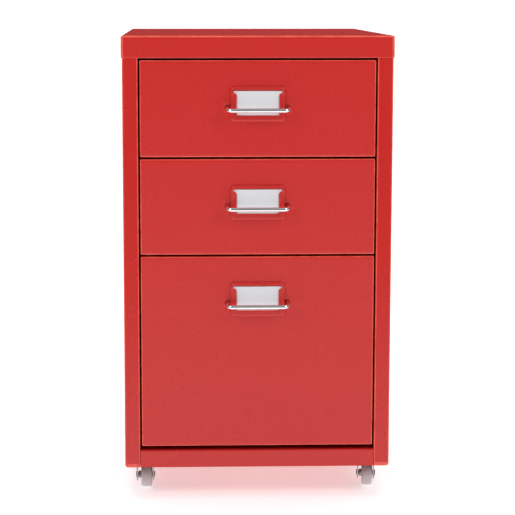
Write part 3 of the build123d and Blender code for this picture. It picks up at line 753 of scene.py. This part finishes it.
def makeHolder(name):
    low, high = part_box(name + "_label_holder")
    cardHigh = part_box(name + "_label_card")[1]
    midX, midZ = (low.x + high.x) / 2, (low.z + high.z) / 2
    halfX, halfZ = (high.x - low.x) / 2, (high.z - low.z) / 2
    rise = high.y - low.y
    cardHalf = cardHigh.x - midX - holder["overlap"]
    windowHalf = halfX - holder["sideBand"]
    top = cardHigh.z - midZ + holder["topGap"]
    sill = holder["bottomBand"] - halfZ
    shoulder = top - holder["shoulder"]
    r = holder["shoulder"]
    # the right half of the window's outline and of the outer outline, point for point, from the
    # top's middle to the bottom's middle
    window = np.concatenate([
        np.linspace((0, top), (cardHalf, top), 12),
        np.tile((cardHalf, top), (7, 1)),
        spread((cardHalf, top), (cardHalf, shoulder), 4),
        arcPoints((windowHalf + r, shoulder - r), r, 90, 180, 9),
        spread((windowHalf, shoulder - r), (windowHalf, sill), 13),
        np.tile((windowHalf, sill), (7, 1)),
        spread((windowHalf, sill), (0, sill), 11),
    ])
    c = holder["corner"]
    archStart, archEnd = shoulder + 0.3 * r, shoulder - r
    outer = np.concatenate([
        np.linspace((0, halfZ), (halfX - c, halfZ), 12),
        arcPoints((halfX - c, halfZ - c), c, 90, 0, 8)[1:],
        spread((halfX, halfZ - c), (halfX, archStart), 4),
        np.linspace((halfX, archStart + 0.1 * (archEnd - archStart)), (halfX, archEnd), 9),
        spread((halfX, shoulder - r), (halfX, c - halfZ), 13),
        arcPoints((halfX - c, c - halfZ), c, 0, -90, 8)[1:],
        spread((halfX - c, -halfZ), (0, -halfZ), 11),
    ])
    window = np.concatenate([window, (window * (-1, 1))[-2:0:-1]])
    outer = np.concatenate([outer, (outer * (-1, 1))[-2:0:-1]])
    # inward direction of the outer outline: towards the rounded rectangle's core
    coreHalf = np.array([halfX - c, halfZ - c])
    core = np.clip(outer, -coreHalf, coreHalf)
    inward = core - outer
    inward /= np.linalg.norm(inward, axis=1)[:, None]
    # rings from the foot of the outer slope over the crown to the window's floor
    angle = np.radians(np.linspace(0, 90, 8))
    slopeIn = holder["slope"] * (1 - np.cos(angle))
    slopeUp = rise * np.sin(angle)
    crown = outer + inward * holder["slope"]
    isTop = (np.arange(len(outer)) < 14) | (np.arange(len(outer)) > len(outer) - 14)
    width = np.where(isTop, holder["topSlope"], holder["innerEdge"])[:, None]
    step = crown - window
    length = np.maximum(np.linalg.norm(step, axis=1)[:, None], 1e-6)
    brow = window + step / length * np.minimum(width, length * 0.7)
    rings = [outer * 1.0]
    heights = [np.zeros(len(outer))]
    for a, b in zip(slopeIn[1:], slopeUp[1:]):
        rings.append(outer + inward * a)
        heights.append(np.full(len(outer), b))
    for s in (0.35, 0.75, 1.0):
        rings.append(crown + (brow - crown) * s)
        heights.append(np.full(len(outer), rise))
    for s in (30, 60, 90):
        a = math.radians(s)
        rings.append(brow + (window - brow) * math.sin(a))
        drop = np.where(isTop, rise - holder["cardLevel"], holder["innerEdge"])
        heights.append(rise - drop * (1 - math.cos(a)))
    rings.append(window * 1.0)
    heights.append(np.full(len(outer), holder["cardLevel"]))
    rings.append(window * 1.0)
    heights.append(np.zeros(len(outer)))
    rings, heights = np.array(rings), np.array(heights)
    points = np.stack([midX + rings[:, :, 0], high.y - heights, midZ + rings[:, :, 1]], 2)
    makePiece(name + "LabelHolder", [gridSheet(points, True, True)], name + "_drawer", "red_enamel",
              [name + "_label_holder"], sharpAngle=60, rimShare=0.15)


card = {"bow": 0.12 * mm, "frontGap": 0.15 * mm}


def makeCard(name, seed):
    # a stiff card, bowed a little between the flanges: two faces and a rim
    low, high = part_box(name + "_label_card")
    u = np.linspace(-1, 1, 40)
    v = np.linspace(-1, 1, 24)
    gu, gv = np.meshgrid(u, v, indexing="ij")
    midX, midZ = (low.x + high.x) / 2, (low.z + high.z) / 2
    bow = card["bow"] * (1 - gu ** 2) * (0.6 + 0.4 * np.sin(gv * 1.3 + seed))
    x = midX + gu * (high.x - low.x) / 2
    z = midZ + gv * (high.z - low.z) / 2
    frontFace = np.stack([x, low.y + card["frontGap"] - bow, z], 2)
    backFace = np.stack([x, np.full_like(x, high.y), z], 2)
    edge = lambda g: np.concatenate([g[:, 0], g[-1, 1:], g[-2::-1, -1], g[0, -2:0:-1]])
    rim = np.stack([edge(frontFace), edge(backFace)])
    sheets = [gridSheet(frontFace), gridSheet(backFace), gridSheet(rim, closeColumns=True)]
    makePiece(name + "LabelCard", sheets, name + "_drawer", "white_paper", [name + "_label_card"],
              sharpAngle=40)


for number, drawer in enumerate(drawers):
    makeFront(drawer, 1.7 * number)
    makeHandle(drawer)
    makeHolder(drawer)
    makeCard(drawer, number)
    print(drawer, "drawer dressed")


wheel = {
    "width": 11.4 * mm,
    "round": 2.2 * mm,         # radius of the tread's edges
    "rim": 3.2 * mm,
    "dish": 1.6 * mm,          # how deep the sides are drawn in
    "hub": 4.6 * mm,
    "bore": 2.05 * mm,
    "shift": 1.3 * mm,
    "hubLeft": 8.8 * mm,       # from the wheel's middle to each end of the hub
    "hubRight": 6.2 * mm,
    "spokes": 6,
    "spokeRise": 0.8 * mm,
    "around": 96,
}


def makeWheel(place):
    # the section turned about the axle; spokes stand up from the dished sides as a cosine of the
    # angle sharpened by a power
    spin = next(j for j in frame["joints"] if j["name"] == f"wheel_{place}_spin")
    centre, axis = np.array(spin["pos_m"]), np.array(spin["axis"], float)
    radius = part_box(f"castor_wheel_{place}")[1].z / 2
    half, rim = wheel["width"] / 2, radius - wheel["rim"]
    dish, hub, bore = wheel["dish"], wheel["hub"], wheel["bore"]

    def sideSection(end):
        return np.concatenate([
            [(end, bore), (end, bore + 0.3 * mm), (end, hub - 1.1 * mm)],
            arcPoints((end - 0.3 * mm, hub - 1.1 * mm), 0.3 * mm, 0, 90, 4),
            [(half - dish + 0.5 * mm, hub - 0.5 * mm)],
            arcPoints((half - dish + 0.5 * mm, hub), 0.5 * mm, -90, -180, 4),
            np.stack([np.full(8, half - dish), np.linspace(hub + 0.6 * mm, rim - 1.0 * mm, 8)], 1),
            arcPoints((half - dish + 0.5 * mm, rim - 0.5 * mm), 0.5 * mm, 180, 90, 4),
            arcPoints((half - 0.4 * mm, rim + 0.4 * mm), 0.4 * mm, -90, 0, 4),
            [(half, radius - wheel["round"] - 0.4 * mm)],
            arcPoints((half - wheel["round"], radius - wheel["round"]), wheel["round"], 0, 90, 9),
            [(half * 0.4, radius)],
        ])

    right = sideSection(wheel["hubRight"])
    left = sideSection(wheel["hubLeft"]) * (-1, 1)
    section = np.concatenate([right, left[::-1]])
    t = np.linspace(0, 2 * math.pi, wheel["around"], endpoint=False)
    along, out = section[:, 0][:, None], section[:, 1][:, None]
    onDish = np.clip(1 - abs(abs(along) - (half - dish)) / (0.05 * mm), 0, 1)
    onDish = onDish * (out > hub + 0.5 * mm) * (out < rim - 0.9 * mm)
    spokes = (0.5 + 0.5 * np.cos(wheel["spokes"] * t)) ** 10
    along = along + np.sign(along) * onDish * wheel["spokeRise"] * spokes
    along = along + wheel["shift"]
    up = np.array([0, 0, 1.0])
    ahead = np.cross(up, axis)
    points = (centre + along[:, :, None] * axis + (out * np.cos(t))[:, :, None] * ahead
              + (out * np.sin(t))[:, :, None] * up)
    solid = gridSheet(points, closeRows=True, closeColumns=True)
    makePiece("castorWheel." + place, [solid], "wheel_" + place, "grey_plastic", [f"castor_wheel_{place}"],
              sharpAngle=50)


for place in ("front_left", "front_right", "rear_left", "rear_right"):
    makeWheel(place)
print("wheels ready")


finish = {"weld": 0.004 * mm, "bevel": 0.18 * mm, "angle": 40}
slotOf = {part["node"]: part["material_slot"] for part in frame["record"]["subparts"]}
for name, part in cadNodes.items():
    part.data.materials.clear()
    part.data.materials.append(slotMaterials[slotOf[name]])
    part.data.shade_smooth()
    weld = part.modifiers.new("weld", "WELD")
    weld.merge_threshold = finish["weld"]
    soft = part.modifiers.new("softEdges", "BEVEL")
    soft.width = finish["bevel"]
    soft.segments = 2
    soft.limit_method = "ANGLE"
    soft.angle_limit = math.radians(finish["angle"])
    soft.use_clamp_overlap = True
    level = part.modifiers.new("levelNormals", "WEIGHTED_NORMAL")
    level.keep_sharp = False
print("finishes on", len(cadNodes), "parts")


stage = {
    "color": (0.88, 0.88, 0.885),
    "roughness": 0.55,
    "glow": 0.50,
    "half": 6.0,
    "bend": 1.5,               # radius between the floor and the wall
    "back": 3.0,
    "tall": 4.5,
}


def makeFloor():
    # a flat floor that curves up into a wall behind: a quarter circle between the two
    width = np.linspace(-stage["half"], stage["half"], 25)
    bend, back, tall = stage["bend"], stage["back"], stage["tall"]
    run = np.concatenate([np.stack([np.linspace(-stage["half"], back, 30), np.zeros(30)], 1),
                          arcPoints((back, bend), bend, -90, 0, 16)[1:], [(back + bend, tall)]])
    gx, gs = np.meshgrid(width, np.arange(len(run)), indexing="ij")
    points = np.stack([gx, run[gs, 0], run[gs, 1]], 2)
    flat, quads = gridSheet(points)
    mesh = bpy.data.meshes.new("floor")
    mesh.from_pydata(flat.tolist(), [], quads.tolist())
    mesh.shade_smooth()
    floor = bpy.data.objects.new("floor", mesh)
    bpy.context.scene.collection.objects.link(floor)
    material, tree, shader, where = startMaterial("paleFloor", stage["color"], stage["roughness"])
    shader.inputs["Emission Color"].default_value = (1, 1, 1, 1)
    shader.inputs["Emission Strength"].default_value = stage["glow"]
    material.cycles.emission_sampling = "NONE"     # its glow is met by bounced rays alone
    skin = useGroup(tree, coatSkin, where, -700, 300, **{"Lump Size": 6 * mm})
    addBump(tree, shader, skin["Height"], 0.02 * mm)
    mesh.materials.append(material)
    floor.visible_glossy = False


softboxes = {
    "keyLeft": {"place": (-0.95, -1.15, 1.10), "target": (0, -0.2, 0.36), "size": (0.45, 0.65), "power": 6.0},
    "keyRight": {"place": (0.95, -1.15, 1.10), "target": (0, -0.2, 0.36), "size": (0.45, 0.65), "power": 6.0},
    "overhead": {"place": (0, 0.5, 2.4), "target": (0, 0.1, 0.2), "size": (2.2, 2.2), "power": 38,
                 "mirrored": False},
    "backdrop": {"place": (0, 1.2, 2.6), "target": (0, 4.5, 1.0), "size": (3.0, 1.0), "power": 26},
}


def addSoftbox(name, place, target, size, power, mirrored=True):
    light = bpy.data.lights.new(name, "AREA")
    light.shape = "RECTANGLE"
    (light.size, light.size_y), light.energy = size, power
    lamp = bpy.data.objects.new(name, light)
    lamp.location = place
    lamp.rotation_euler = (Vector(target) - Vector(place)).to_track_quat("-Z", "Y").to_euler()
    lamp.visible_glossy = mirrored
    bpy.context.scene.collection.objects.link(lamp)


room = {
    "strength": 1.3,
    "levels": [                # height of the direction, brightness
        (-0.95, 0.95), (-0.26, 0.90), (-0.13, 0.50), (-0.10, 0.06),
        (0.0, 0.015), (0.26, 0.02), (0.40, 0.22), (0.95, 0.30),
    ],
}


def makeWorld():
    # what the parts mirror: a pale floor, a dark band across the horizon, and a grey room above it
    world = bpy.data.worlds.new("room")
    bpy.context.scene.world = world
    world.use_nodes = True
    tree = world.node_tree
    tree.nodes.clear()
    where = newNode(tree, "ShaderNodeTexCoord", -900, 0).outputs["Generated"]
    split = newNode(tree, "ShaderNodeSeparateXYZ", -700, 0)
    tree.links.new(where, split.inputs[0])
    lift = remap(tree, split.outputs["Z"], -500, 0, -1, 1)
    ramp = newNode(tree, "ShaderNodeValToRGB", -300, 0)
    stops = ramp.color_ramp.elements
    for height, grey in room["levels"]:
        stop = stops.new((height + 1) / 2)
        stop.color = (grey, grey, grey * 1.01, 1)
    stops.remove(stops[0])
    stops.remove(stops[-1])
    tree.links.new(lift, ramp.inputs[0])
    shade = newNode(tree, "ShaderNodeBackground", 0, 0, Strength=room["strength"])
    out = newNode(tree, "ShaderNodeOutputWorld", 200, 0)
    tree.links.new(ramp.outputs[0], shade.inputs["Color"])
    tree.links.new(shade.outputs[0], out.inputs[0])


camera = {
    "side": -0.0783,           # left of the cabinet's middle
    "ahead": 1.754,            # in front of the drawer fronts
    "height": 0.523,
    "yaw": 1.68,               # degrees to the right
    "pitch": 7.77,             # degrees down
    "lens": 119.7,
    "shift": (0.05, -0.05),
}


def makeCamera():
    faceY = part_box("top_front")[0].y
    data = bpy.data.cameras.new("camera")
    data.lens, data.sensor_width = camera["lens"], 36
    data.shift_x, data.shift_y = camera["shift"]
    data.dof.use_dof = False
    eye = bpy.data.objects.new("camera", data)
    eye.location = (camera["side"], faceY - camera["ahead"], camera["height"])
    eye.rotation_euler = (math.radians(90 - camera["pitch"]), 0, math.radians(-camera["yaw"]))
    bpy.context.scene.collection.objects.link(eye)
    bpy.context.scene.camera = eye


makeFloor()
makeWorld()
for name, values in softboxes.items():
    addSoftbox(name, **values)
makeCamera()
bpy.context.scene.view_settings.view_transform = "Standard"
print("stage ready")
